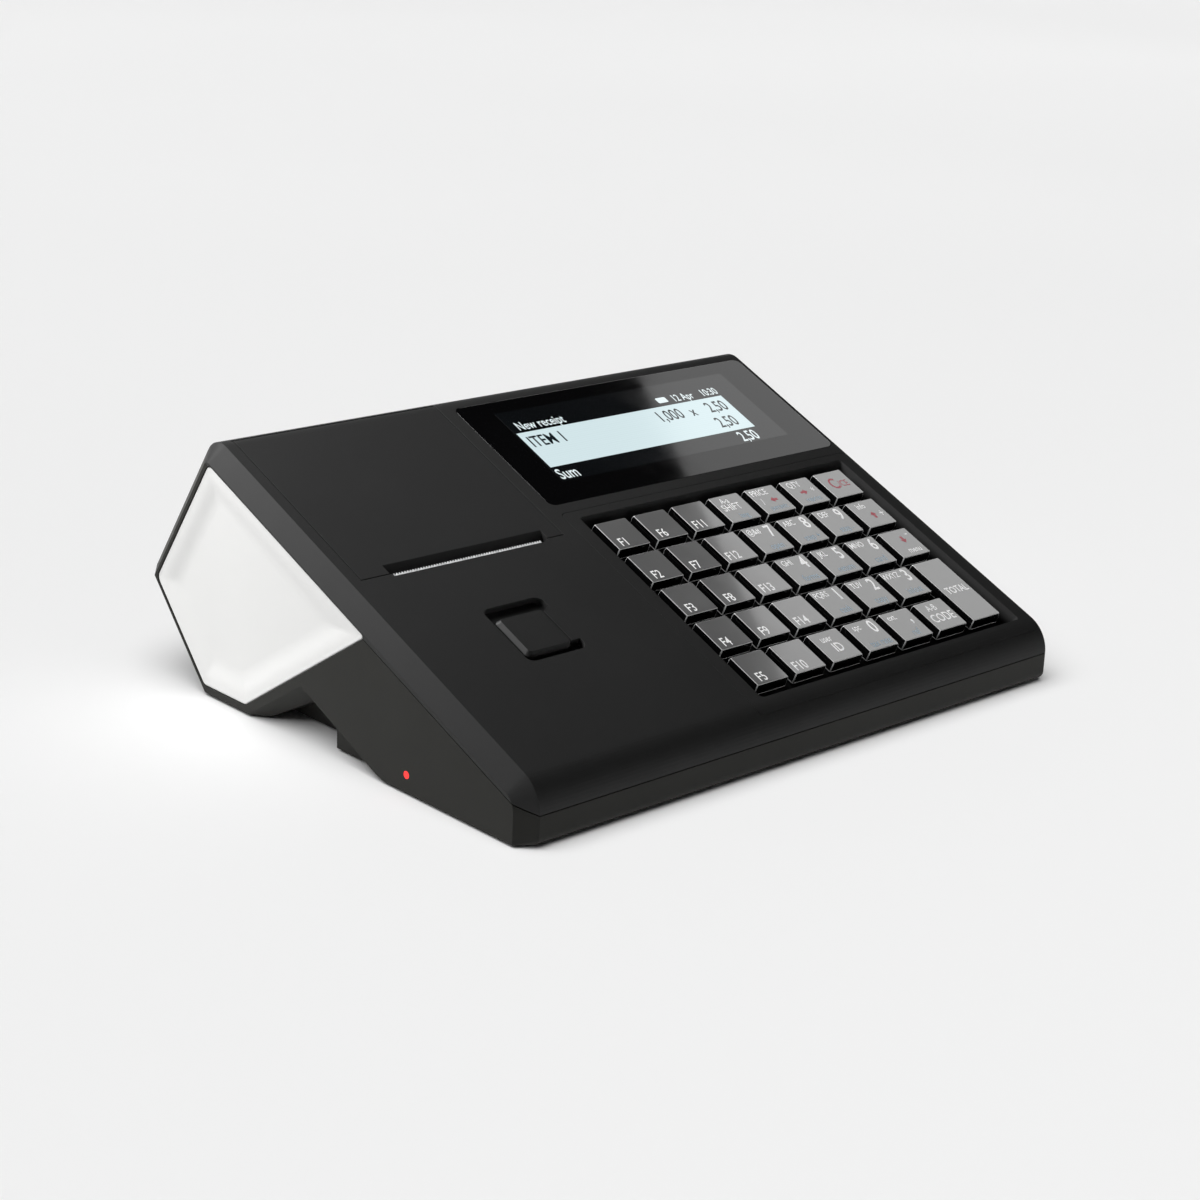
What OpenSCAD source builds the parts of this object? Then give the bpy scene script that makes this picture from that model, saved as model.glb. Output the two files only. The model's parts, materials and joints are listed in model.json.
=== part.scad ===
/* [Case] */
// Overall width of the case
case_w = 240; // [230:1:250]
// Slope of the top face, in degrees
slope = 23.2; // [22:0.1:24]
// Length of the sloping top face, between its sharp corners
top_len = 173.1; // [172:0.1:176]
// Height of the front face below the nose corner
nose_h = 17.4; // [17:0.1:19]
// Distance of the front face from the origin
front_reach = 97; // [96:0.1:98]
// Height of the rear edge above the bottom of the case
rear_edge_h = 32; // [30:0.5:34]
// Distance of the rear edge from the origin
rear_reach = 97.7; // [97:0.1:98.5]
// Reach of the flat bottom behind the origin
bottom_reach = 69.6; // [68:0.1:72]
// Radius of the rounded nose
nose_r = 12; // [10:0.5:13]
// Radius of the rounded back edge
back_r = 8; // [6:0.5:9]
// Wall of the top, front, back and bottom
wall = 2.5; // [2.2:0.1:2.8]
// Wall of the two side faces
side_wall = 5; // [4.6:0.1:5.2]
// Width of the side bevel, seen from above
bevel_x = 5; // [4:0.1:6]
// Depth of the side bevel, square to the top face
bevel_d = 5.8; // [5:0.1:6]
// Depth of the case seam below the top face
seam_depth = 7.2; // [7:0.1:7.6]
// Gap that shows at the case seam
seam_gap = 0.3; // [0.2:0.05:0.4]

/* [Keys] */
// Pitch of the keys, both ways
pitch = 17.5; // [17.3:0.1:17.7]
// Width of a key cap at its foot
key_w = 14.4; // [14:0.1:14.6]
// Taper of a key cap on each side
key_taper = 0.4; // [0.2:0.05:0.5]
// Height of a key cap
key_h = 3.9; // [3.5:0.1:4]
// Travel of a key
key_travel = 2; // [1.5:0.1:2]
// Radius of a key stem
stem_r = 3.4; // [3:0.1:3.6]
// Radial clearance of a key stem in its guide
stem_play = 0.06; // [0.04:0.01:0.1]

/* [Display] */
// Width of the display window
window_w = 137; // [135:0.5:138]
// Length of the display window up the slope
window_len = 55.6; // [55:0.1:56]
// Thickness of the display window
window_t = 2; // [1.8:0.1:2.2]

/* [Printer] */
// Width of the paper cover
cover_w = 81.3; // [81:0.1:82]
// Radius of the hinge barrel of the cover
barrel_r = 3.4; // [3.2:0.1:3.4]
// Radius of the hinge pin
pin_r = 1.5; // [1.4:0.1:1.6]
// Running clearance on the pin and on the roller shaft
shaft_play = 0.07; // [0.05:0.01:0.1]
// Radius of the rubber platen roller
platen_r = 5.5; // [5:0.1:5.5]
// Outer radius of the paper roll
paper_r = 23; // [10:1:24]
// Width of the paper roll
paper_w = 57; // [56:0.5:57.5]
// Module of the feed gears
gear_module = 0.75; // [0.75:0.05:0.75]
// Teeth of the platen gear
platen_teeth = 16; // [16:1:16]
// Teeth of the motor gear
motor_teeth = 20; // [20:1:20]

/* [Feet] */
// Height of the rubber feet below the case
foot_h = 1; // [0.8:0.1:2]
// Radius of the rubber feet
foot_r = 7; // [6:0.5:8]

/* [Hidden] */
$fn = 64;
EPS = 0.01;
HUGE = 400;
ARC_STEPS = 12;
FIT = 0.15;

// Corners of the case section, as [y, z]
base_z = foot_h;
nose = [-front_reach, base_z + nose_h];
back = nose + top_len * [cos(slope), sin(slope)];
rear = [rear_reach, base_z + rear_edge_h];
rear_tilt = atan2(back[1] - rear[1], rear[0] - back[0]);
CASE_RADII = [3, 6, 3, back_r, nose_r];

// Places on the top face: x across, y up the slope from the nose corner, z out of the face
key_x = -7.7;
key_y = 90.5;
KEY_COLS = 7;
KEY_ROWS = 5;
TOTAL_ROW = 3;
bezel_lo = [-23.1, 3];
bezel_hi = [113.8, 105.3];
well_lo = [-17.7, 8.6];
well_hi = [109.4, 102];
bezel_t = 2.4;
well_wall = 1;
well_slope = 1.9;
guide_top = -key_h - key_travel - 0.4;
guide_t = 1.5;
stem_end = -10;
mat_top = stem_end - key_travel - 0.5;
window_lo = [-23.4, 109.9];
window_hi = window_lo + [window_w, window_len];
screen_lo = [-10, 120.2];
screen_hi = [99.4, 159.3];
customer_lo = [18, 14];
customer_hi = [92, 42];
ledge = 3.5;
ledge_t = 2;
cover_x = -70.05;
cover_lo = [cover_x - cover_w / 2, 96.2];
cover_t = 2.5;
cover_gap = 0.4;
hinge_y = 165.5;
hinge_z = -barrel_r - 0.1;
lip_len = 3.5;
lip_t = 1.8;
lip_sweep = 4.95;
slot_lo = [-99.2, 95.5];
slot_hi = [-36.7, 100.2];
tear_w = 59.2;
tear_t = 0.6;
tear_top = -0.2;
tear_tip = 96.1;
tear_depth = 1.3;
TEETH = 56;
paper_x = -68.9;
platen_y = 101.5;
platen_z = -10;
gear_t = 4;
gear_x = -104.7;
gear_distance = gear_module * (platen_teeth + motor_teeth) / 2;
motor_z = platen_z - gear_distance;
motor_r = 6.5;
motor_len = 13;
motor_shaft_r = 1;
plate_t = 1.5;
plate_gap = 0.6;
frame_lo_x = paper_x - paper_w / 2 - plate_gap - plate_t;
frame_hi_x = paper_x + paper_w / 2 + plate_gap;
head_y = [91, 95.6];
arm_t = 2;
arm_r = 3.2;
arm_x = [gear_x - 0.8 - arm_t, frame_hi_x + plate_t + 1.8];
roll_y = 136;
roll_z = -30;
core_r = 6;
bucket_r = 26;
bucket_t = 1.8;
button_lo = [-80, 50];
button_hi = [-61.9, 67.6];
button_recess_lo = [-82, 47];
button_recess_hi = [-58.4, 72.3];
button_recess_d = 2.3;
button_top = -0.1;
// The case stays full height beside the button, between the two ends of the recess
BUTTON_SHOULDER = [[-63, 51.3], [-50, 51.3], [-50, 72.4], [-63, 65]];
button_travel = 2.5;

// Places on the side and bottom of the case, as [y, z] or [x, y]
PANEL_CORNERS = [[39.5, 3.2], [62.7, 3.2], [89.3, 33.4], [58.9, 78.4], [-22.4, 43.6]];
PANEL_RADII = [3, 3, 3, 2.5, 1];
panel_pocket = 3.2;
panel_t = 3;
panel_dish = 1.6;
panel_bevel = 9;
grip_z = base_z - 0.4;
GRIP_CORNERS = [
    [-48, -4], [-48, grip_z], [-31.5, grip_z], [9, 18.6],
    [11.5, 11.7], [32, grip_z], [45, grip_z], [45, -4]
];
GRIP_RADII = [1, 1, 25, 3.2, 3, 12, 1, 1];
GRIP_HOUSING = [[-38, base_z], [3, 20.5], [14, 20.5], [37, base_z]];
// The undercut below the rear half of the side face, along a line that falls to the rear
undercut_start = [11.6, 17.3];
undercut_tilt = 32.5;
UNDERCUT = [
    [case_w / 2 + 1, 0.75], [case_w / 2 + 1, -20],
    [case_w / 2 - 9, -20], [case_w / 2 - 9, -6.75]
];
grip_depth = 14;
grip_shallow = 5;
grip_step_y = -2.6;
bay_lo = [10, 60, 6];
bay_hi = [90, 120, 26];
led_place = [-43.1, 6.6];
led_r = 1.2;
FEET = [[-86, -82], [90, -82], [-90, 50], [90, 50]];
foot_recess = 0.6;
SCREWS = [[-104, -72], [-40, -72], [-26.5, 58], [108, 58]];
screw_r = 1.5;
screw_head_r = 3;
screw_head_d = 3;
screw_len = 15;
post_r = 3.5;
post_z = base_z + 8;
board_z = 8;
board_t = 1.6;
// Sockets on the main board: [left x, width, top z, mouth width, mouth bottom z, mouth top z, depth]
SOCKETS = [
    [16, 16, 22.5, 11.8, 11.5, 19.5, 11],
    [36, 16, 22.5, 11.8, 11.5, 19.5, 11],
    [56, 12, 20, 8.4, 11.2, 17.4, 9],
    [73, 9, 20, 0, 0, 0, 0]
];

function unit(v) = v / norm(v);
function turned(v, a) = [v[0] * cos(a) - v[1] * sin(a), v[0] * sin(a) + v[1] * cos(a)];
function corner_arc(prev, cur, next, r) =
    let (a = unit(prev - cur), b = unit(next - cur), half = acos(a * b) / 2)
    let (centre = cur + unit(a + b) * r / sin(half))
    let (start = cur + a * r / tan(half) - centre)
    let (turn = (cross(a, b) < 0 ? 1 : -1) * (180 - 2 * half))
    [for (i = [0:ARC_STEPS]) centre + turned(start, turn * i / ARC_STEPS)];
function rounded(c, r) =
    let (n = len(c))
    [for (i = [0:n - 1]) for (q = corner_arc(c[(i + n - 1) % n], c[i], c[(i + 1) % n], r[i])) q];
function case_corners(drop) =
    let (bottom = [bottom_reach, base_z], run = unit(bottom - rear))
    [
        [-front_reach, base_z - drop],
        bottom + run * drop / -run[1],
        rear,
        back,
        nose
    ];
// One straight-flanked tooth every step, with its flanks narrowed for backlash
function gear_points(teeth) =
    let (r = gear_module * teeth / 2, step = 360 / teeth)
    let (root = r - 1.2 * gear_module, tip = r + 0.9 * gear_module)
    [for (i = [0:teeth - 1]) for (k = [[-0.33, root], [-0.11, tip], [0.11, tip], [0.33, root]])
        turned([k[1], 0], (i + k[0]) * step)];

// Extrudes a [y, z] section along x, about the middle
module along_x(w) {
    rotate([90, 0, 90])
        linear_extrude(w, center = true)
            children();
}

// Extrudes a [y, z] section from x on, towards +x
module from_x(x, w) {
    translate([x, 0, 0])
        rotate([90, 0, 90])
            linear_extrude(w)
                children();
}

module on_top() {
    translate([0, nose[0], nose[1]])
        rotate([slope, 0, 0])
            children();
}

module on_rear() {
    translate([0, back[0], back[1]])
        rotate([-rear_tilt, 0, 0])
            children();
}

module box(lo, hi) {
    translate(lo)
        cube(hi - lo);
}

// A block between two corners of a face, from z to z + t
module slab(lo, hi, z, t) {
    box([lo[0], lo[1], z], [hi[0], hi[1], z + t]);
}

// The same, with rounded corners
module pad(lo, hi, z, t, r) {
    translate([0, 0, z])
        linear_extrude(t)
            polygon(rounded([lo, [hi[0], lo[1]], hi, [lo[0], hi[1]]], [r, r, r, r]));
}

module case_section(inset, cut) {
    offset(delta = -inset - cut)
        polygon(rounded(case_corners(cut), CASE_RADII));
}

// The solid outer form of the case, shrunk by inset and by side on the two side faces
module case_solid(inset, side) {
    hull() {
        along_x(case_w - 2 * bevel_x - 2 * side)
            case_section(inset, 0);
        along_x(case_w - 2 * side)
            case_section(inset, bevel_d);
    }
}

module case_shell() {
    difference() {
        case_solid(0, 0);
        case_solid(wall, side_wall);
    }
}

module above(z) {
    on_top()
        translate([-HUGE / 2, -HUGE / 2, z])
            cube(HUGE);
}

module below(z) {
    on_top()
        translate([-HUGE / 2, -HUGE / 2, z - HUGE])
            cube(HUGE);
}

module side_copies() {
    children();
    mirror([1, 0, 0])
        children();
}

module hinge_line(lo_x, hi_x, r) {
    translate([lo_x, hinge_y, hinge_z])
        rotate([0, 90, 0])
            cylinder(r = r, h = hi_x - lo_x);
}

module platen_line(lo_x, hi_x, z, r) {
    translate([lo_x, platen_y, z])
        rotate([0, 90, 0])
            cylinder(r = r, h = hi_x - lo_x);
}

module screw_posts() {
    for (s = SCREWS)
        translate([s[0], s[1], post_z])
            cylinder(r = post_r, h = HUGE);
}

module upper_ribs() {
    on_top() {
        slab(bezel_lo - [3, 3], bezel_hi + [3, 3], -bezel_t - ledge_t, ledge_t + 1);
        slab(window_lo - [3, 3], window_hi + [3, 3], -window_t - ledge_t, ledge_t + 1);
        slab(button_recess_lo - [3, 3], button_recess_hi + [3, 3], -4.3, 3);
        for (x = [cover_lo[0] - 4.5, cover_lo[0] + cover_w + 0.5])
            box([x, hinge_y - 5, -7], [x + 4, hinge_y + 5, -1]);
        for (x = [cover_lo[0] - 2.5, cover_lo[0] + cover_w - 1.5])
            box([x, cover_lo[1] + 8, -cover_t - 1.8], [x + 4, hinge_y - 6, -1]);
    }
    screw_posts();
}

module upper_openings() {
    on_top() {
        pad(bezel_lo - [FIT, FIT], bezel_hi + [FIT, FIT], -bezel_t, HUGE, 2);
        pad(
            well_lo - (well_wall + FIT) * [1, 1],
            well_hi + (well_wall + FIT) * [1, 1],
            -HUGE / 2, HUGE, 2
        );
        pad(window_lo - [FIT, FIT], window_hi + [FIT, FIT], -window_t, HUGE, 3);
        pad(window_lo + [ledge, ledge], window_hi - [ledge, ledge], -HUGE / 2, HUGE, 2);
        slab(
            cover_lo - cover_gap * [1, 1],
            [cover_lo[0] + cover_w + cover_gap, hinge_y],
            -cover_t - 0.1, 30
        );
        slab(
            cover_lo + [2, -cover_gap],
            [cover_lo[0] + cover_w - 2, hinge_y + 1],
            -seam_depth - 2, 30
        );
        slab(
            [cover_lo[0] - cover_gap, hinge_y - 5.6],
            [cover_lo[0] + cover_w + cover_gap, hinge_y + 2],
            -seam_depth - 2, 30
        );
        hinge_line(cover_lo[0] - cover_gap, cover_lo[0] + cover_w + cover_gap, lip_sweep);
        slab([slot_lo[0], slot_lo[1] - 0.8], slot_hi, -seam_depth - 2, 30);
        slab(
            [paper_x - tear_w / 2 - 1, slot_lo[1] - 4],
            [paper_x + tear_w / 2 + 1, slot_lo[1]],
            tear_top - tear_t, tear_t
        );
        hinge_line(cover_lo[0] - 3.5, cover_lo[0] + cover_w + 3.5, pin_r + 0.01);
        difference() {
            pad(button_recess_lo, button_recess_hi, -button_recess_d, 30, 2.8);
            translate([0, 0, -button_recess_d - 1])
                linear_extrude(40)
                    polygon(BUTTON_SHOULDER);
        }
        pad(button_lo - [0.3, 0.3], button_hi + [0.3, 0.3], -20, 30, 2);
    }
    panel_pockets();
    for (s = SCREWS)
        translate([s[0], s[1], post_z - EPS])
            cylinder(r = screw_r, h = screw_len - 4);
}

module upper_case() {
    color([0.09, 0.09, 0.09])
        difference() {
            union() {
                intersection() {
                    case_shell();
                    above(-seam_depth + seam_gap / 2);
                }
                intersection() {
                    case_solid(0.5, 0.5);
                    upper_ribs();
                }
            }
            upper_openings();
        }
}

// Walls of the lower case around its hand grips and its cable bay
module lower_housings() {
    side_copies()
        from_x(case_w / 2 - grip_depth - wall, grip_depth)
            polygon(GRIP_HOUSING);
    intersection() {
        case_solid(0.5, 0.5);
        box(bay_lo - wall * [1, 1, 1], bay_hi + wall * [1, 0, 1]);
    }
    for (s = SCREWS)
        translate([s[0], s[1], base_z])
            cylinder(r = post_r + 1.5, h = post_z - base_z);
}

module grip_recess() {
    difference() {
        from_x(case_w / 2 - grip_depth, HUGE)
            polygon(rounded(GRIP_CORNERS, GRIP_RADII));
        box(
            [0, -HUGE, -HUGE],
            [case_w / 2 - grip_shallow, grip_step_y, HUGE]
        );
    }
    translate([0, undercut_start[0], undercut_start[1]])
        rotate([-undercut_tilt, 0, 0])
            translate([0, 45, 0])
                rotate([90, 0, 0])
                    linear_extrude(48)
                        polygon(UNDERCUT);
}

module panel_pockets() {
    side_copies()
        from_x(case_w / 2 - panel_pocket, HUGE)
            polygon(rounded(PANEL_CORNERS, PANEL_RADII));
}

module panel_outline(inset) {
    offset(delta = -inset)
        polygon(rounded(PANEL_CORNERS, PANEL_RADII));
}

module lower_openings() {
    side_copies()
        grip_recess();
    panel_pockets();
    box(bay_lo, bay_hi);
    for (p = SOCKETS)
        box([p[0] - 0.3, bay_lo[1] - wall - 1, board_z], [p[0] + p[1] + 0.3, bay_lo[1] + 1, p[2] + 0.3]);
    on_rear()
        pad(customer_lo - [FIT, FIT], customer_hi + [FIT, FIT], -window_t - 5, 30, 2);
    translate([-case_w / 2 - 1, led_place[0], led_place[1]])
        rotate([0, 90, 0])
            cylinder(r = led_r, h = side_wall + 2, $fn = 32);
    for (f = FEET)
        translate([f[0], f[1], base_z - 1])
            cylinder(r = foot_r, h = 1 + foot_recess);
    for (s = SCREWS)
        translate([s[0], s[1], base_z - 1]) {
            cylinder(r = screw_head_r + 0.2, h = 1 + screw_head_d);
            cylinder(r = screw_r + 0.1, h = post_z);
        }
}

module lower_case() {
    color([0.1, 0.1, 0.095])
        difference() {
            union() {
                intersection() {
                    case_shell();
                    below(-seam_depth - seam_gap / 2);
                }
                intersection() {
                    difference() {
                        case_solid(1.2, 1.2);
                        case_solid(wall, side_wall);
                    }
                    below(-seam_depth + seam_gap / 2);
                }
                lower_housings();
            }
            lower_openings();
        }
}

module keypad_bezel() {
    color([0.07, 0.07, 0.07])
        intersection() {
            case_solid(0, 0);
            on_top()
                difference() {
                    union() {
                        pad(bezel_lo, bezel_hi, -bezel_t, bezel_t + 1, 2);
                        pad(
                            well_lo - well_wall * [1, 1],
                            well_hi + well_wall * [1, 1],
                            guide_top - guide_t, guide_t - guide_top - 1, 2
                        );
                    }
                    hull() {
                        pad(well_lo, well_hi, 0.2, 1, 1.5);
                        pad(
                    well_lo + well_slope * [1, 1],
                    well_hi - well_slope * [1, 1],
                    guide_top, 0.1, 1.5
                );
                    }
                    for (c = [0:KEY_COLS - 1])
                        for (r = [0:KEY_ROWS - 1])
                            if (c < KEY_COLS - 1 || r < TOTAL_ROW)
                                key_guide(c, r);
                    key_guide(KEY_COLS - 1, TOTAL_ROW + 0.5);
                }
        }
}

// The round hole that guides one key's stem
module key_guide(c, r) {
    translate([key_x + c * pitch, key_y - r * pitch, guide_top - guide_t - 1])
        cylinder(r = stem_r + stem_play, h = guide_t + 2, $fn = 48);
}

// A key cap with its stem; span is the number of rows that it covers
module key(c, r, span = 1) {
    w = key_w / 2;
    l = w + (span - 1) * pitch / 2;
    y = key_y - (r + (span - 1) / 2) * pitch;
    color([0.45, 0.45, 0.45])
        on_top()
            translate([key_x + c * pitch, y, 0]) {
                hull() {
                    slab([-w, -l], [w, l], -key_h, key_h - 1);
                    slab([key_taper - w, key_taper - l], [w - key_taper, l - key_taper], -0.2, 0.2);
                }
                translate([0, 0, stem_end])
                    cylinder(r = stem_r, h = -stem_end - key_h + 1, $fn = 48);
            }
}

module keyboard_mat() {
    color([0.25, 0.25, 0.26])
        on_top() {
            slab(well_lo + [1, 3], well_hi - [1, 4], mat_top - 2.5, 1);
            for (c = [0:KEY_COLS - 1])
                for (r = [0:KEY_ROWS - 1])
                    translate([key_x + c * pitch, key_y - r * pitch, mat_top - 2])
                        cylinder(r1 = 5, r2 = 3, h = 2, $fn = 24);
        }
}

module keyboard_board() {
    color([0.05, 0.3, 0.15])
        on_top()
            slab(well_lo + [0, 2], well_hi - [0, 3.5], mat_top - 2.5 - board_t, board_t);
}

module display_window() {
    color([0.03, 0.03, 0.035])
        on_top()
            pad(window_lo, window_hi, -window_t, window_t, 3);
}

module display_module() {
    color([0.75, 0.85, 0.88])
        on_top()
            difference() {
                slab(screen_lo - [3.5, 3], screen_hi + [3.5, 2.5], -10, 5.6);
                slab(screen_lo, screen_hi, -6, 5);
            }
}

module customer_display() {
    color([0.03, 0.03, 0.035])
        on_rear() {
            pad(customer_lo, customer_hi, -window_t, window_t, 2);
            slab(customer_lo + [3, 3], customer_hi - [3, 3], -window_t - 5, 5 + EPS);
        }
}

// A shallow tray with sloping sides, in the right side face
module side_panel() {
    difference() {
        from_x(case_w / 2 - panel_pocket, panel_t)
            offset(delta = -FIT)
                polygon(rounded(PANEL_CORNERS, PANEL_RADII));
        hull() {
            from_x(case_w / 2 - panel_pocket + panel_t - panel_dish, panel_dish)
                panel_outline(panel_bevel);
            from_x(case_w / 2 - panel_pocket + panel_t, 0.2)
                panel_outline(0.8);
        }
    }
}

module side_panel_left() {
    color([0.93, 0.93, 0.92])
        mirror([1, 0, 0])
            side_panel();
}

module side_panel_right() {
    color([0.93, 0.93, 0.92])
        side_panel();
}

module paper_cover_form() {
    slab(cover_lo, [cover_lo[0] + cover_w, hinge_y], -cover_t, cover_t + 1);
    slab([cover_lo[0], hinge_y - 1], [cover_lo[0] + cover_w, hinge_y + lip_len], -lip_t, lip_t + 1);
    hinge_line(cover_lo[0], cover_lo[0] + cover_w, barrel_r);
    for (x = arm_x) {
        box([x, platen_y - arm_r + 0.3, platen_z], [x + arm_t, platen_y + 8, -1]);
        platen_line(x, x + arm_t, platen_z, arm_r);
    }
}

module paper_cover() {
    color([0.09, 0.09, 0.09])
        intersection() {
            case_solid(0, 0);
            on_top()
                difference() {
                    paper_cover_form();
                    hinge_line(cover_lo[0] - 1, cover_lo[0] + cover_w + 1, pin_r + shaft_play);
                    platen_line(cover_lo[0], cover_lo[0] + cover_w, platen_z, pin_r + shaft_play);
                    translate([slot_lo[0] - 0.8, slot_hi[1], 0])
                        rotate([-50, 0, 0])
                            translate([0, -20, -4])
                                cube([slot_hi[0] - slot_lo[0] + 1.6, 20, 20]);
                    slab(slot_lo, [slot_hi[0], slot_hi[1] - 2.4], -cover_t - 1, 10);
                }
        }
}

module cover_hinge_pin() {
    color([0.7, 0.7, 0.72])
        on_top()
            hinge_line(cover_lo[0] - 3.4, cover_lo[0] + cover_w + 3.4, pin_r);
}

module release_button() {
    color([0.08, 0.08, 0.08])
        on_top() {
            hull() {
                pad(button_lo, button_hi, -2, 0.6, 1.7);
                pad(button_lo + [1.2, 1.1], button_hi - [0.3, 0.8], button_top - 0.2, 0.2, 1.2);
            }
            pad(button_lo, button_hi, -5.3, 3.5, 1.7);
            slab(button_lo - [1.2, 1.2], button_hi + [1.2, 1.2], -6.4, 1.4);
        }
}

module tear_bar() {
    teeth = [
        for (i = [0:2 * TEETH])
            [paper_x - tear_w / 2 + i * tear_w / (2 * TEETH), tear_tip - (i % 2) * tear_depth]
    ];
    color([0.85, 0.86, 0.88])
        on_top()
            translate([0, 0, tear_top - tear_t])
                linear_extrude(tear_t)
                    polygon(concat(
                        teeth,
                        [
                            [paper_x + tear_w / 2, slot_lo[1] - 3.8],
                            [paper_x - tear_w / 2, slot_lo[1] - 3.8]
                        ]
                    ));
}

// One side plate of the printer frame, in its [y, z] section
module frame_plate(x) {
    difference() {
        union() {
            box([x, platen_y - 10, -34], [x + plate_t, hinge_y - 7.5, -4.6]);
            box([x, platen_y, -34], [x + plate_t, roll_y + bucket_r + bucket_t + 1.2, -9.5]);
            translate([x, roll_y, roll_z])
                rotate([0, 90, 0])
                    cylinder(r = bucket_r + bucket_t + 0.7, h = plate_t, $fn = 96);
        }
        box([x - 1, platen_y - 2.3, platen_z - 2], [x + plate_t + 1, platen_y + 2.3, 0]);
        box([x - 1, platen_y - 12, -4.6], [x + plate_t + 1, hinge_y + 10, 5]);
        translate([x - 1, platen_y, motor_z])
            rotate([0, 90, 0])
                cylinder(r = motor_shaft_r + 0.5, h = plate_t + 2, $fn = 32);
    }
}

// The straight front and back of the bucket's trough, a little inside its round bottom
module bucket_walls(r, lo_x, hi_x, top) {
    box([lo_x, roll_y - r + 0.2, roll_z - 1], [hi_x, roll_y + r - 0.2, top]);
}

module bucket() {
    difference() {
        union() {
            translate([frame_lo_x, roll_y, roll_z])
                rotate([0, 90, 0])
                    cylinder(r = bucket_r + bucket_t, h = frame_hi_x - frame_lo_x + plate_t, $fn = 96);
            bucket_walls(bucket_r + bucket_t, frame_lo_x, frame_hi_x + plate_t, -14);
        }
        translate([frame_lo_x - 1, roll_y, roll_z])
            rotate([0, 90, 0])
                cylinder(r = bucket_r, h = HUGE, $fn = 96);
        bucket_walls(bucket_r, frame_lo_x - 1, frame_hi_x + plate_t + 1, HUGE);
    }
}

module printer_frame() {
    leg_y = nose[0] + roll_y * cos(slope) - roll_z * sin(slope);
    color([0.3, 0.3, 0.32]) {
        on_top() {
            frame_plate(frame_lo_x);
            frame_plate(frame_hi_x);
            bucket();
        }
        for (x = [frame_lo_x, frame_hi_x])
            for (y = [leg_y - 18, leg_y + 10])
                box([x - 0.5, y, base_z + wall], [x + plate_t + 0.5, y + 8, 26]);
    }
}

module print_head() {
    color([0.55, 0.5, 0.42])
        on_top() {
            box([frame_lo_x + plate_t, head_y[0], -16], [frame_hi_x, head_y[0] + 3, -4]);
            box([frame_lo_x + plate_t + 1, head_y[0] + 3 - EPS, -15], [frame_hi_x - 1, head_y[1], -5.5]);
        }
}

module platen_roller() {
    color([0.15, 0.15, 0.15])
        on_top() {
            platen_line(frame_lo_x + plate_t + 0.5, frame_hi_x - 0.5, platen_z, platen_r);
            platen_line(arm_x[0], arm_x[1] + arm_t, platen_z, pin_r);
        }
}

module gear(z, teeth, bore, phase) {
    translate([gear_x, platen_y, z])
        rotate([0, 90, 0])
            difference() {
                linear_extrude(gear_t)
                    rotate(phase)
                        polygon(gear_points(teeth));
                translate([0, 0, -1])
                    cylinder(r = bore, h = gear_t + 2, $fn = 32);
            }
}

module platen_gear() {
    color([0.88, 0.88, 0.85])
        on_top()
            gear(platen_z, platen_teeth, pin_r, 0);
}

module motor_gear() {
    color([0.88, 0.88, 0.85])
        on_top()
            gear(motor_z, motor_teeth, motor_shaft_r + 0.06, 180 / motor_teeth);
}

module feed_motor() {
    color([0.7, 0.7, 0.72])
        on_top() {
            platen_line(frame_lo_x + plate_t, frame_lo_x + plate_t + motor_len, motor_z, motor_r);
            platen_line(gear_x, frame_lo_x + plate_t + 1, motor_z, motor_shaft_r);
        }
}

module paper_roll() {
    color([0.95, 0.95, 0.94])
        on_top()
            translate([paper_x - paper_w / 2, roll_y, roll_z])
                rotate([0, 90, 0])
                    difference() {
                        cylinder(r = paper_r, h = paper_w, $fn = 96);
                        translate([0, 0, -1])
                            cylinder(r = core_r, h = paper_w + 2);
                    }
}

module socket(p) {
    y = bay_lo[1];
    mid = p[0] + p[1] / 2;
    difference() {
        box([p[0], y - 15, board_z + board_t], [p[0] + p[1], y - 0.3, p[2]]);
        box([mid - p[3] / 2, y - p[6] - 0.3, p[4]], [mid + p[3] / 2, y + 1, p[5]]);
    }
}

module power_socket(p) {
    y = bay_lo[1];
    place = [p[0] + p[1] / 2, y - 10, (board_z + board_t + p[2]) / 2];
    difference() {
        box([p[0], y - 13, board_z + board_t], [p[0] + p[1], y - 0.3, p[2]]);
        translate(place)
            rotate([-90, 0, 0])
                cylinder(r = 2.9, h = 20, $fn = 48);
    }
    translate(place - [0, 1, 0])
        rotate([-90, 0, 0])
            cylinder(r = 1.05, h = 9, $fn = 32);
}

module main_board() {
    color([0.05, 0.3, 0.15]) {
        box([-20, 5, board_z], [100, bay_lo[1] - 0.3 - wall, board_z + board_t]);
        for (i = [0:2])
            socket(SOCKETS[i]);
        power_socket(SOCKETS[3]);
        box([0, 18, board_z + board_t - EPS], [22, 40, board_z + 4]);
        for (x = [40, 60, 80])
            translate([x, 20, board_z + board_t - EPS])
                cylinder(r = 5, h = 10, $fn = 32);
    }
}

module battery_pack() {
    color([0.2, 0.25, 0.45])
        box([-100, -60, base_z + wall], [-32, -24, base_z + wall + 15]);
}

module rubber_feet() {
    color([0.12, 0.12, 0.12])
        for (f = FEET)
            translate([f[0], f[1], 0])
                cylinder(r = foot_r, h = foot_h + foot_recess);
}

module case_screws() {
    color([0.6, 0.6, 0.62])
        for (s = SCREWS)
            translate([s[0], s[1], base_z + 0.6])
                difference() {
                    union() {
                        cylinder(r = screw_head_r, h = screw_head_d - 0.6);
                        cylinder(r = screw_r, h = screw_len);
                    }
                    for (a = [0, 90])
                        rotate(a)
                            translate([-1.8, -0.4, -1])
                                cube([3.6, 0.8, 2]);
                }
}

module status_led() {
    color([0.9, 0.1, 0.1])
        translate([-case_w / 2, led_place[0], led_place[1]])
            rotate([0, 90, 0])
                cylinder(r = led_r, h = side_wall + 1, $fn = 32);
}

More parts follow.
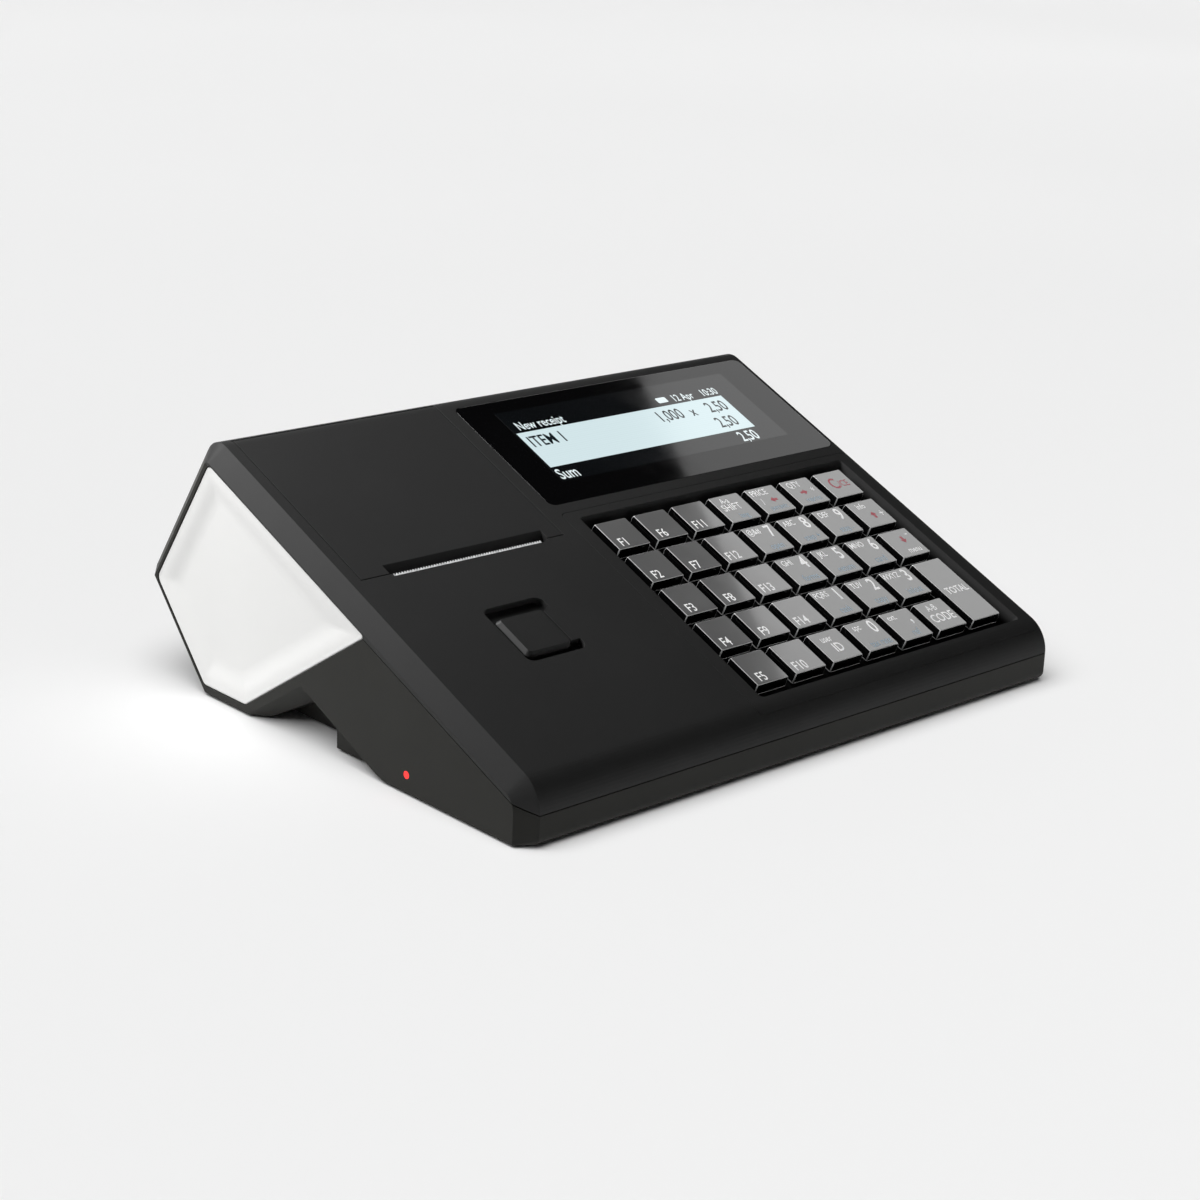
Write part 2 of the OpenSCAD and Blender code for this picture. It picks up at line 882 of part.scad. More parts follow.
module key_f1() { key(0, 0); }
module key_f2() { key(0, 1); }
module key_f3() { key(0, 2); }
module key_f4() { key(0, 3); }
module key_f5() { key(0, 4); }
module key_f6() { key(1, 0); }
module key_f7() { key(1, 1); }
module key_f8() { key(1, 2); }
module key_f9() { key(1, 3); }
module key_f10() { key(1, 4); }
module key_f11() { key(2, 0); }
module key_f12() { key(2, 1); }
module key_f13() { key(2, 2); }
module key_f14() { key(2, 3); }
module key_id() { key(2, 4); }
module key_shift() { key(3, 0); }
module key_7() { key(3, 1); }
module key_4() { key(3, 2); }
module key_1() { key(3, 3); }
module key_0() { key(3, 4); }
module key_price() { key(4, 0); }
module key_8() { key(4, 1); }
module key_5() { key(4, 2); }
module key_2() { key(4, 3); }
module key_comma() { key(4, 4); }
module key_quantity() { key(5, 0); }
module key_9() { key(5, 1); }
module key_6() { key(5, 2); }
module key_3() { key(5, 3); }
module key_code() { key(5, 4); }
module key_clear() { key(6, 0); }
module key_up() { key(6, 1); }
module key_down() { key(6, 2); }
module key_total() { key(6, TOTAL_ROW, 2); }

upper_case();
lower_case();
keypad_bezel();
keyboard_mat();
keyboard_board();
display_window();
display_module();
customer_display();
side_panel_left();
side_panel_right();
paper_cover();
cover_hinge_pin();
release_button();
tear_bar();
printer_frame();
print_head();
platen_roller();
platen_gear();
feed_motor();
motor_gear();
paper_roll();
main_board();
battery_pack();
rubber_feet();
case_screws();
status_led();
key_f1();
key_f2();
key_f3();
key_f4();
key_f5();
key_f6();
key_f7();
key_f8();
key_f9();
key_f10();
key_f11();
key_f12();
key_f13();
key_f14();
key_id();
key_shift();
key_7();
key_4();
key_1();
key_0();
key_price();
key_8();
key_5();
key_2();
key_comma();
key_quantity();
key_9();
key_6();
key_3();
key_code();
key_clear();
key_up();
key_down();
key_total();
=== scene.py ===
import json
import math

import bmesh
import bpy
from mathutils import Matrix, Vector

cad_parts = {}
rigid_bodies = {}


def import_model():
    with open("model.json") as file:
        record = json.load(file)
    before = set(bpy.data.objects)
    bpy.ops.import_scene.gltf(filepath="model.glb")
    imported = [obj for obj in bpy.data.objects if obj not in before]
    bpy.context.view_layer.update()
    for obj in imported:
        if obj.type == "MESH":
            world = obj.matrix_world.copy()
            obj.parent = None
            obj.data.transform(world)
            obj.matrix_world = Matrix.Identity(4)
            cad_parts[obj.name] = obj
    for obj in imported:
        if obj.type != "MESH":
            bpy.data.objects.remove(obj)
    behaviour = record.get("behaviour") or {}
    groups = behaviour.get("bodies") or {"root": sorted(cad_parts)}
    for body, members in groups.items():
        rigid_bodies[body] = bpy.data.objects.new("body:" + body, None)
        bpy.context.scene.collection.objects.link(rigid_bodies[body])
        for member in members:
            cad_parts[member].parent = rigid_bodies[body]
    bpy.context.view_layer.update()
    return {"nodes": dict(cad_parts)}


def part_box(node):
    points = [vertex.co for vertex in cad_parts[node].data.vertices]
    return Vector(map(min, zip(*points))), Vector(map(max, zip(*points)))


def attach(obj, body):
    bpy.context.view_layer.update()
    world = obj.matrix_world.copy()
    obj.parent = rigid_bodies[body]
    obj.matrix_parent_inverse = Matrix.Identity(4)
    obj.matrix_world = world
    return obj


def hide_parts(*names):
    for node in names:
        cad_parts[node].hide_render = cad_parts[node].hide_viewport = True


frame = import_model()

MM = 0.001
NODES = frame["nodes"]

# The sloping top face: x across, y up the slope from the nose corner, z out of the face
SLOPE = math.radians(23.2)
NOSE = Vector((0.0, -0.097, 0.0184))
FACE = Matrix.Translation(NOSE) @ Matrix.Rotation(SLOPE, 4, "X")


# ---------------------------------------------------------------- camera, light and floor


def add_camera():
    """A camera in the place that was solved from the grid of keys."""
    data = bpy.data.cameras.new("camera")
    data.lens = 74.2
    data.sensor_width = 36.0
    camera = bpy.data.objects.new("camera", data)
    camera.location = (-0.5448, -0.5718, 0.2880)
    tilt, heading, roll = (math.radians(a) for a in (71.63, -43.43, 2.41))
    turn = Matrix.Rotation(heading, 3, "Z") @ Matrix.Rotation(tilt, 3, "X") @ Matrix.Rotation(roll, 3, "Z")
    camera.rotation_euler = turn.to_euler()
    bpy.context.collection.objects.link(camera)
    bpy.context.scene.camera = camera


def add_light(name, kind, energy, matrix, **settings):
    data = bpy.data.lights.new(name, kind)
    data.energy = energy
    for key, value in settings.items():
        setattr(data, key, value)
    light = bpy.data.objects.new(name, data)
    light.matrix_world = matrix
    bpy.context.collection.objects.link(light)
    return light


def looking(origin, target):
    """A matrix at origin whose -Z axis points at target."""
    turn = (Vector(target) - Vector(origin)).to_track_quat("-Z", "Y").to_matrix().to_4x4()
    return Matrix.Translation(origin) @ turn


def add_softbox():
    """A big soft panel that the glossy window and key tops mirror on their right half."""
    edge_mid = Vector((0.83, 0.285, 0.84))
    along_edge = Vector((-0.157, 0.964, -0.208))
    inward = Vector((0.700, -0.040, -0.716))
    away = inward.cross(along_edge)
    width = 0.9
    turn = Matrix((inward, along_edge, away)).transposed().to_4x4()
    place = Matrix.Translation(edge_mid + inward * width / 2) @ turn
    return add_light("softbox", "AREA", 7.0, place, shape="RECTANGLE", size=width, size_y=1.7)


def only_lights(light, name, objects):
    """Limits a light to the given objects."""
    lit = bpy.data.collections.new(name)
    for obj in objects:
        lit.objects.link(obj)
    light.light_linking.receiver_collection = lit


def add_lights(floor):
    """A key light behind on the left, a softbox for the glossy faces and a broad light for the floor."""
    key = add_light(
        "key", "AREA", 3.5, looking((-0.26, 0.24, 0.40), (-0.02, -0.01, 0.04)),
        shape="RECTANGLE", size=0.26, size_y=0.26,
    )
    pieces = [o for o in bpy.data.objects if o.type == "MESH" and o is not floor]
    only_lights(key, "register_only", pieces)
    softbox = add_softbox()
    glossy = [o for o in bpy.data.objects if o.name.startswith(("key_", "lcd_", "display_window"))]
    only_lights(softbox, "glossy_pieces", glossy)
    overhead = add_light(
        "overhead", "SUN", 3.3, looking((-0.5, -0.1, 1.2), (0, 0, 0)), angle=math.radians(70),
    )
    only_lights(overhead, "floor_only", [floor])
    world = bpy.data.worlds.new("studio")
    world.use_nodes = True
    background = world.node_tree.nodes["Background"]
    background.inputs["Color"].default_value = (1.0, 1.0, 1.0, 1.0)
    background.inputs["Strength"].default_value = 0.015
    bpy.context.scene.world = world
    bpy.context.scene.view_settings.view_transform = "Standard"


def add_floor():
    """A round floor with a wall at its far edge."""
    reach = 14.0
    wall_height = 3.0
    sides = 64
    angles = [2 * math.pi * i / sides for i in range(sides)]
    ring = [(reach * math.cos(a), reach * math.sin(a)) for a in angles]
    verts = [(x, y, 0.0) for x, y in ring] + [(x, y, wall_height) for x, y in ring]
    faces = [list(range(sides))]
    faces += [[i, (i + 1) % sides, (i + 1) % sides + sides, i + sides] for i in range(sides)]
    floor = new_mesh("floor", verts, faces, [floor_material()])
    return floor


# ---------------------------------------------------------------- materials


def node_material(name):
    """An empty Principled material, with a texture coordinate node."""
    material = bpy.data.materials.new(name)
    material.use_nodes = True
    tree = material.node_tree
    shader = tree.nodes["Principled BSDF"]
    coords = tree.nodes.new("ShaderNodeTexCoord")
    return material, tree, shader, coords


def add_noise(tree, coords, scale, detail=3.0, stretch=None):
    """Noise in the piece's own axes; stretch scales each axis."""
    noise = tree.nodes.new("ShaderNodeTexNoise")
    noise.inputs["Scale"].default_value = scale
    noise.inputs["Detail"].default_value = detail
    source = coords.outputs["Object"]
    if stretch:
        mapping = tree.nodes.new("ShaderNodeMapping")
        mapping.inputs["Scale"].default_value = stretch
        tree.links.new(source, mapping.inputs["Vector"])
        source = mapping.outputs["Vector"]
    tree.links.new(source, noise.inputs["Vector"])
    return noise.outputs["Fac"]


def add_ramp(tree, source, socket, low, high, start=0.35, end=0.65):
    """Feeds socket with a colour or a number that runs from low to high as source does."""
    ramp = tree.nodes.new("ShaderNodeValToRGB")
    ramp.color_ramp.elements[0].position = start
    ramp.color_ramp.elements[1].position = end
    for element, value in zip(ramp.color_ramp.elements, (low, high)):
        element.color = (*value, 1.0) if isinstance(value, tuple) else (value, value, value, 1.0)
    tree.links.new(source, ramp.inputs["Fac"])
    tree.links.new(ramp.outputs["Color"], socket)


def add_bump(tree, source, shader, depth, edge=0.0):
    """Surface relief; edge is the radius, in millimetres, of the worn look on sharp edges."""
    bump = tree.nodes.new("ShaderNodeBump")
    if edge:
        bevel = tree.nodes.new("ShaderNodeBevel")
        bevel.samples = 4
        bevel.inputs["Radius"].default_value = edge * MM
        tree.links.new(bevel.outputs["Normal"], bump.inputs["Normal"])
    bump.inputs["Distance"].default_value = depth
    tree.links.new(source, bump.inputs["Height"])
    tree.links.new(bump.outputs["Normal"], shader.inputs["Normal"])


def shade(colour, factor):
    return tuple(min(1.0, c * factor) for c in colour)


def plastic(name, colour, rough, spread=0.06, grain=0.0, grain_scale=2600.0, vary=0.1, edge=0.0, **sockets):
    """Moulded plastic: a slight drift of colour, uneven gloss and, where grain is set, a fine texture."""
    material, tree, shader, coords = node_material(name)
    drift = add_noise(tree, coords, 14.0, 2.0)
    add_ramp(tree, drift, shader.inputs["Base Color"], shade(colour, 1 - vary), shade(colour, 1 + vary))
    gloss = add_noise(tree, coords, 90.0, 4.0)
    add_ramp(tree, gloss, shader.inputs["Roughness"], rough - spread, rough + spread)
    if grain:
        add_bump(tree, add_noise(tree, coords, grain_scale, 2.0), shader, grain * MM, edge)
    for key, value in sockets.items():
        shader.inputs[key.replace("_", " ")].default_value = value
    return material


def metal(name, colour, rough, stretch, metallic=1.0):
    """Brushed metal, with its scratches drawn out along one axis."""
    material, tree, shader, coords = node_material(name)
    brushed = add_noise(tree, coords, 700.0, 5.0, stretch)
    add_ramp(tree, brushed, shader.inputs["Base Color"], shade(colour, 0.85), shade(colour, 1.1))
    add_ramp(tree, brushed, shader.inputs["Roughness"], rough - 0.08, rough + 0.1)
    add_bump(tree, brushed, shader, 0.004 * MM)
    shader.inputs["Metallic"].default_value = metallic
    return material


def glowing(name, colour, strength, rough=0.1, pixel=0.0):
    """A lit surface; pixel is the pitch of a display's dots, in millimetres."""
    material, tree, shader, coords = node_material(name)
    shader.inputs["Base Color"].default_value = (0.01, 0.01, 0.01, 1.0)
    shader.inputs["Roughness"].default_value = rough
    shader.inputs["Emission Strength"].default_value = strength
    if pixel:
        cells = tree.nodes.new("ShaderNodeTexVoronoi")
        cells.distance = "CHEBYCHEV"
        cells.inputs["Randomness"].default_value = 0.0
        cells.inputs["Scale"].default_value = 1 / (pixel * MM)
        tree.links.new(coords.outputs["Object"], cells.inputs["Vector"])
        dots = cells.outputs["Distance"]
        add_ramp(tree, dots, shader.inputs["Emission Color"], colour, shade(colour, 0.93), 0.3, 0.5)
    else:
        drift = add_noise(tree, coords, 120.0)
        add_ramp(tree, drift, shader.inputs["Emission Color"], shade(colour, 0.94), colour)
    return material


def board_material():
    material, tree, shader, coords = node_material("circuit_board")
    tracks = add_noise(tree, coords, 260.0, 1.0, (1.0, 3.0, 3.0))
    add_ramp(tree, tracks, shader.inputs["Base Color"], (0.01, 0.10, 0.045), (0.02, 0.17, 0.07), 0.48, 0.52)
    shader.inputs["Roughness"].default_value = 0.3
    return material


def paper_material():
    material, tree, shader, coords = node_material("thermal_paper")
    layers = add_noise(tree, coords, 120.0, 6.0, (0.02, 1.0, 1.0))
    add_ramp(tree, layers, shader.inputs["Base Color"], (0.78, 0.78, 0.75), (0.9, 0.9, 0.88))
    add_bump(tree, layers, shader, 0.03 * MM)
    shader.inputs["Roughness"].default_value = 0.6
    return material


def floor_material():
    material, tree, shader, coords = node_material("studio_floor")
    drift = add_noise(tree, coords, 0.6, 2.0)
    add_ramp(tree, drift, shader.inputs["Base Color"], (0.86, 0.86, 0.86), (0.89, 0.89, 0.89))
    shader.inputs["Roughness"].default_value = 0.9
    shader.inputs["Specular IOR Level"].default_value = 0.1
    return material


MATERIALS = {
    "case": plastic(
        "case_black", (0.034, 0.034, 0.034), 0.5, spread=0.015,
        grain=0.012, vary=0.04, edge=0.25, Specular_IOR_Level=0.1,
    ),
    # A darker copy of the case black for the lower case: painted shade on its front and sides, which face
    # away from the lights.
    "side": plastic(
        "case_side", (0.025, 0.0248, 0.0222), 0.48, spread=0.015,
        grain=0.012, vary=0.05, edge=0.25, Specular_IOR_Level=0.12,
    ),
    "panel": plastic("panel_white", (0.78, 0.78, 0.77), 0.5, spread=0.02, vary=0.005),
    "window": plastic(
        "window_black", (0.0015, 0.0015, 0.0018), 0.05, spread=0.012, vary=0.2,
        grain=0.0005, grain_scale=60.0, edge=0.2, Specular_IOR_Level=0.34,
    ),
    "key_side": plastic("key_side", (0.003, 0.003, 0.0032), 0.1, spread=0.03, Coat_Weight=0.4),
    # Light grey painted highlight for the glints on the edges of the clear key caps.
    "key_edge_painted_highlight": plastic("key_edge_painted_highlight", (0.65, 0.65, 0.65), 0.12, spread=0.03, Coat_Weight=0.6),
    "label_dark": plastic(
        "label_dark", (0.16, 0.16, 0.16), 0.1, spread=0.02, vary=0.05,
        Coat_Weight=1.0, Coat_Roughness=0.04, Specular_IOR_Level=0.75,
    ),
    "label_light": plastic(
        "label_light", (0.175, 0.178, 0.175), 0.1, spread=0.02, vary=0.05,
        Coat_Weight=1.0, Coat_Roughness=0.04, Specular_IOR_Level=0.6,
    ),
    # White print that also glows a little: its emission is painted light that brightens the legends.
    "ink_white_painted_glow": plastic(
        "ink_white_painted_glow", (0.88, 0.88, 0.88), 0.3, vary=0.03,
        Emission_Color=(1.0, 1.0, 1.0, 1.0), Emission_Strength=0.2,
    ),
    "ink_red": plastic("ink_red", (0.45, 0.02, 0.05), 0.3, vary=0.05),
    "ink_blue": plastic("ink_blue", (0.30, 0.42, 0.52), 0.3, vary=0.05),
    "button": plastic(
        "button_black", (0.033, 0.033, 0.033), 0.45,
        grain=0.01, edge=0.2, Specular_IOR_Level=0.2,
    ),
    "steel": metal("steel", (0.62, 0.62, 0.64), 0.3, (0.05, 1.0, 1.0)),
    # The tear bar is partly metallic steel with a near-white base: most of its brightness is a painted
    # reflection rather than the steel's own colour.
    "tear_steel_painted_reflection": metal("tear_steel_painted_reflection", (0.9, 0.91, 0.92), 0.5, (1.0, 0.05, 1.0), metallic=0.35),
    "rubber": plastic("rubber_black", (0.02, 0.02, 0.02), 0.75, grain=0.02, grain_scale=1500.0),
    "silicone": plastic("silicone", (0.16, 0.16, 0.17), 0.6),
    "frame": plastic("frame_grey", (0.07, 0.07, 0.075), 0.5, grain=0.01),
    "ceramic": plastic("ceramic", (0.42, 0.38, 0.30), 0.35),
    "nylon": plastic("nylon", (0.72, 0.72, 0.67), 0.42, Subsurface_Weight=0.1),
    "wrap": plastic("battery_wrap", (0.04, 0.07, 0.18), 0.25),
    "board": board_material(),
    "paper": paper_material(),
    "lcd_glass": plastic("lcd_glass", (0.004, 0.005, 0.006), 0.06, spread=0.01, vary=0.3),
    "lcd_lit": glowing("lcd_lit", (0.66, 0.80, 0.83), 1.0, pixel=0.42),
    "lcd_text": glowing("lcd_text", (0.8, 0.9, 0.92), 1.0),
    "lcd_ink": plastic("lcd_ink", (0.01, 0.016, 0.022), 0.1, vary=0.2),
    "led": glowing("led_red", (1.0, 0.01, 0.008), 2.2, rough=0.3),
}

NODE_MATERIALS = {
    # The lower case takes the darker copy of the case black, which is painted shade.
    "upper_case": "case", "keypad_bezel": "case", "paper_cover": "case", "lower_case": "side",
    "display_window": "window", "customer_display": "window", "release_button": "button",
    "keyboard_mat": "silicone", "keyboard_board": "board", "main_board": "board",
    "display_module": "steel", "cover_hinge_pin": "steel", "case_screws": "steel",
    "feed_motor": "steel", "tear_bar": "tear_steel_painted_reflection", "printer_frame": "frame",
    "print_head": "ceramic", "platen_roller": "rubber", "rubber_feet": "rubber",
    "platen_gear": "nylon", "motor_gear": "nylon", "paper_roll": "paper",
    "battery_pack": "wrap", "status_led": "led",
}


def dress_nodes():
    """Gives every CAD node that stays its material."""
    for name, key in NODE_MATERIALS.items():
        node = NODES[name]
        node.data.materials.clear()
        node.data.materials.append(MATERIALS[key])


# ---------------------------------------------------------------- mesh helpers


def new_mesh(name, verts, faces, materials, smooth=False, indices=None):
    mesh = bpy.data.meshes.new(name)
    mesh.from_pydata([tuple(v) for v in verts], [], faces)
    for material in materials:
        mesh.materials.append(material)
    for i, polygon in enumerate(mesh.polygons):
        polygon.use_smooth = smooth
        if indices:
            polygon.material_index = indices[i]
    mesh.validate()
    mesh.update()
    obj = bpy.data.objects.new(name, mesh)
    bpy.context.collection.objects.link(obj)
    return obj


def turned(v, angle):
    """A 2-D point turned about the origin."""
    c, s = math.cos(angle), math.sin(angle)
    return Vector((v[0] * c - v[1] * s, v[0] * s + v[1] * c))


def inset_corners(corners, distance):
    """Corners of a convex anticlockwise outline, moved inwards by distance."""
    out = []
    for i, cur in enumerate(corners):
        prev, nxt = Vector(corners[i - 1]), Vector(corners[(i + 1) % len(corners)])
        cur = Vector(cur)
        a, b = (cur - prev).normalized(), (nxt - cur).normalized()
        na, nb = Vector((-a.y, a.x)), Vector((-b.y, b.x))
        out.append(cur + (na + nb) * distance / (1 + na.dot(nb)))
    return out


def rounded(corners, radii, steps=6):
    """Points of a convex anticlockwise outline with an arc at each corner."""
    points = []
    for i, cur in enumerate(corners):
        cur = Vector(cur)
        a = (Vector(corners[i - 1]) - cur).normalized()
        b = (Vector(corners[(i + 1) % len(corners)]) - cur).normalized()
        half = math.acos(max(-1.0, min(1.0, a.dot(b)))) / 2
        radius = radii[i]
        centre = cur + (a + b).normalized() * radius / math.sin(half)
        start = cur + a * radius / math.tan(half) - centre
        turn = math.pi - 2 * half
        points += [centre + turned(start, turn * k / steps) for k in range(steps + 1)]
    return points


def rectangle(lo, hi):
    return [(lo[0], lo[1]), (hi[0], lo[1]), (hi[0], hi[1]), (lo[0], hi[1])]


def loft(name, rings, place, materials, bands=None, caps=(None, 0), smooth=False, corner_band=None):
    """Skins a stack of equal rings of 3-D points; bands and caps say which material each one takes.
    corner_band = (a, b): on the rounded corners, material b stands in for material a."""
    count = len(rings[0])
    corner = count // 4
    verts = [place @ Vector(p) for ring in rings for p in ring]
    faces, indices = [], []
    for r in range(len(rings) - 1):
        for i in range(count):
            j = (i + 1) % count
            a, b = r * count, (r + 1) * count
            faces.append([a + i, a + j, b + j, b + i])
            index = bands[r] if bands else 0
            if corner_band and index == corner_band[0] and 0 < (i + 1) % corner < corner - 1:
                index = corner_band[1]
            indices.append(index)
    if caps[0] is not None:
        faces.append(list(range(count))[::-1])
        indices.append(caps[0])
    if caps[1] is not None:
        faces.append([(len(rings) - 1) * count + i for i in range(count)])
        indices.append(caps[1])
    return new_mesh(name, verts, faces, materials, smooth, indices)


def face_box(node):
    """Lowest and highest corner of a CAD node in the top face's own axes."""
    obj = NODES[node]
    to_face = FACE.inverted() @ obj.matrix_world
    points = [to_face @ v.co for v in obj.data.vertices]
    return [Vector(pick(p[k] for p in points) for k in range(3)) for pick in (min, max)]


def sheet(name, lo, hi, z, thick, radius, material, place=FACE):
    """A thin plate with rounded corners on a face."""
    outline = rounded(rectangle(lo, hi), [radius] * 4, 4)
    rings = [[(p[0], p[1], h) for p in outline] for h in (z, z + thick)]
    return loft(name, rings, place, [material], caps=(0, 0))


def text_shape(words, size, narrow=0.72, bold=0.0):
    """(vertices, faces) of a flat word whose middle is at the origin."""
    curve = bpy.data.curves.new("word", "FONT")
    curve.body = words
    curve.size = size
    curve.align_x = "CENTER"
    curve.offset = bold * size
    curve.resolution_u = 3
    obj = bpy.data.objects.new("word", curve)
    bpy.context.collection.objects.link(obj)
    bpy.context.view_layer.update()
    mesh = bpy.data.meshes.new_from_object(obj.evaluated_get(bpy.context.evaluated_depsgraph_get()))
    verts = [Vector((v.co.x * narrow, v.co.y, 0.0)) for v in mesh.vertices]
    faces = [list(p.vertices) for p in mesh.polygons]
    bpy.data.objects.remove(obj)
    bpy.data.meshes.remove(mesh)
    bpy.data.curves.remove(curve)
    return verts, faces


def arrow_shape(size, angle):
    """(vertices, faces) of a solid arrow that points along +X before it is turned."""
    outline = [(-1, -0.32), (0, -0.32), (0, -0.85), (1.05, 0), (0, 0.85), (0, 0.32), (-1, 0.32)]
    return [Vector((*turned((x * size, y * size), angle), 0.0)) for x, y in outline], [list(range(7))]


def print_on(name, marks, place, materials):
    """One flat piece from marks: (shape, (x, y), material index)."""
    verts, faces, indices = [], [], []
    for (points, polygons), (x, y), index in marks:
        base = len(verts)
        verts += [place @ (p + Vector((x, y, 0.0))) for p in points]
        faces += [[base + i for i in polygon] for polygon in polygons]
        indices += [index] * len(polygons)
    return new_mesh(name, verts, faces, materials, False, indices)


# ---------------------------------------------------------------- keys


WHITE, RED, BLUE = 0, 1, 2

# Font size for each millimetre of a legend's nominal height, and how far its strokes are widened
FONT_SCALE = 1.32
STROKE_SPREAD = 0.006
# How far a legend is lowered, as a share of its nominal height
LEGEND_DROP = 0.1


def mark(words, size, x, y, ink=WHITE, bold=0.0):
    """A word of a legend at (x, y) from the middle of the key, in millimetres."""
    shape = text_shape(words, size * FONT_SCALE * MM, bold=bold + STROKE_SPREAD)
    return shape, (x * MM, (y - size * LEGEND_DROP) * MM), ink


def digit_marks(digit, letters, word):
    """A big digit, its letters at the top left and the blue word below."""
    return [
        mark(digit, 6.2, 3.8, 1.0, bold=0.006),
        mark(letters, 2.9, -3.1, 3.4),
        mark(word, 3.2, 0.8, -5.2, BLUE),
    ]


def arrow(size, angle, x, y):
    return arrow_shape(size * MM, math.radians(angle)), (x * MM, y * MM), RED


def key_marks():
    """The legend of every key, by node."""
    legends = {f"key_f{n}": [mark(f"F{n}", 4.2, -2.6, -5.2, bold=0.004)] for n in range(1, 15)}
    digits = {
        "7": ("7", "@&#", "open"), "8": ("8", "ABC", "step +"), "9": ("9", "DEF", "step -"),
        "4": ("4", "GHI", "forms"), "5": ("5", "JKL", "return"), "6": ("6", "MNO", "card"),
        "1": ("1", "PQRS", "cash"), "2": ("2", "TUV", "copy"), "3": ("3", "WXYZ", "in/out"),
        "0": ("0", "spc", "tax rate"), "comma": (",", "ext.", "ref"),
    }
    legends.update({f"key_{k}": digit_marks(*v) for k, v in digits.items()})
    legends["key_shift"] = [
        mark("A-a", 2.9, -1.6, 3.2), mark("SHIFT", 3.6, -1.0, -0.6), mark("lang", 2.7, 0.8, -5.2, BLUE),
    ]
    legends["key_price"] = [
        mark("PRICE", 3.2, -2.0, 3.2), mark("/", 3.4, -4.0, -1.6), arrow(1.6, 180, 1.6, -0.4),
        mark("percent", 2.7, 0.4, -5.2, BLUE),
    ]
    legends["key_quantity"] = [
        mark("QTY", 3.2, -2.0, 3.2), arrow(1.6, 0, -0.6, -0.2), mark("*", 3.6, 4.2, -1.6),
        mark("reprint", 2.7, 0.6, -5.2, BLUE),
    ]
    legends["key_clear"] = [mark("C", 6.0, -2.0, -1.6, RED, 0.004), mark("/CE", 3.4, 2.4, -1.4, RED)]
    legends["key_up"] = [mark("info", 3.0, -1.6, 3.2), arrow(1.7, 90, 0.4, -1.2), mark("+", 3.8, 4.4, -2.4)]
    legends["key_down"] = [mark("-", 4.2, 4.6, 3.0), arrow(1.7, 270, 1.0, 1.6), mark("menu", 3.0, 1.4, -5.0)]
    legends["key_total"] = [mark("TOTAL", 3.5, 0.2, -1.4, bold=0.006)]
    legends["key_id"] = [mark("user", 3.0, -1.2, 2.4), mark("ID", 4.4, 0.6, -2.6, bold=0.004)]
    legends["key_code"] = [mark("A-B", 3.2, -1.0, 2.6), mark("CODE", 4.2, 0.0, -2.8, bold=0.004)]
    return legends


def key_cap(node, label):
    """A clear cap over a label: a foot and rim in a light grey that is painted highlight for the glints on
    the cap's edges, dark polished sides and a glossy label on top.
    """
    lo, hi = face_box(node)
    middle = (lo + hi) / 2
    half = Vector(((hi.x - lo.x) / 2, (hi.y - lo.y) / 2))
    place = FACE @ Matrix.Translation((middle.x, middle.y, hi.z))
    # (height, inset, corner radius) of each ring in millimetres, from the foot up
    steps = [
        (-3.9, 0.0, 0.5), (-3.74, 0.0, 0.5), (-3.7, 0.12, 0.4), (-1.1, 0.16, 0.4), (-0.3, 0.32, 0.35),
        (-0.18, 0.36, 0.35), (-0.04, 0.44, 0.35), (0.0, 0.52, 0.3), (0.0, 0.6, 0.3),
    ]
    # Material 1 on the foot, on the top edge and, through corner_band, down the rounded corners is painted
    # highlight: light lines in place of the glints on a clear cap's edges.
    bands = [1, 1, 0, 0, 0, 1, 1, 2]
    rings = []
    for height, inset, radius in steps:
        edge = half - Vector((inset, inset)) * MM
        outline = rounded(rectangle(-edge, edge), [radius * MM] * 4, 4)
        rings.append([(p[0], p[1], height * MM) for p in outline])
    materials = [MATERIALS["key_side"], MATERIALS["key_edge_painted_highlight"], label]
    return loft(f"{node}_cap", rings, place, materials, bands, caps=(0, 2), corner_band=(0, 1)), place


def add_keys():
    """A cap and a printed legend for every key; the function keys have the darker label."""
    dark = {f"key_f{n}" for n in range(1, 15)}
    inks = [MATERIALS["ink_white_painted_glow"], MATERIALS["ink_red"], MATERIALS["ink_blue"]]
    print_height = Matrix.Translation((0, 0, 0.015 * MM))
    for node, marks in key_marks().items():
        tone, slot = ("label_dark", "key_clear") if node in dark else ("label_light", "key_clear_light")
        cap, place = key_cap(node, MATERIALS[tone])
        legend = print_on(f"{node}_legend", marks, place @ print_height, inks)
        for piece in (cap, legend):
            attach(piece, f"{node}_body")
        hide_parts(node)


# ---------------------------------------------------------------- displays


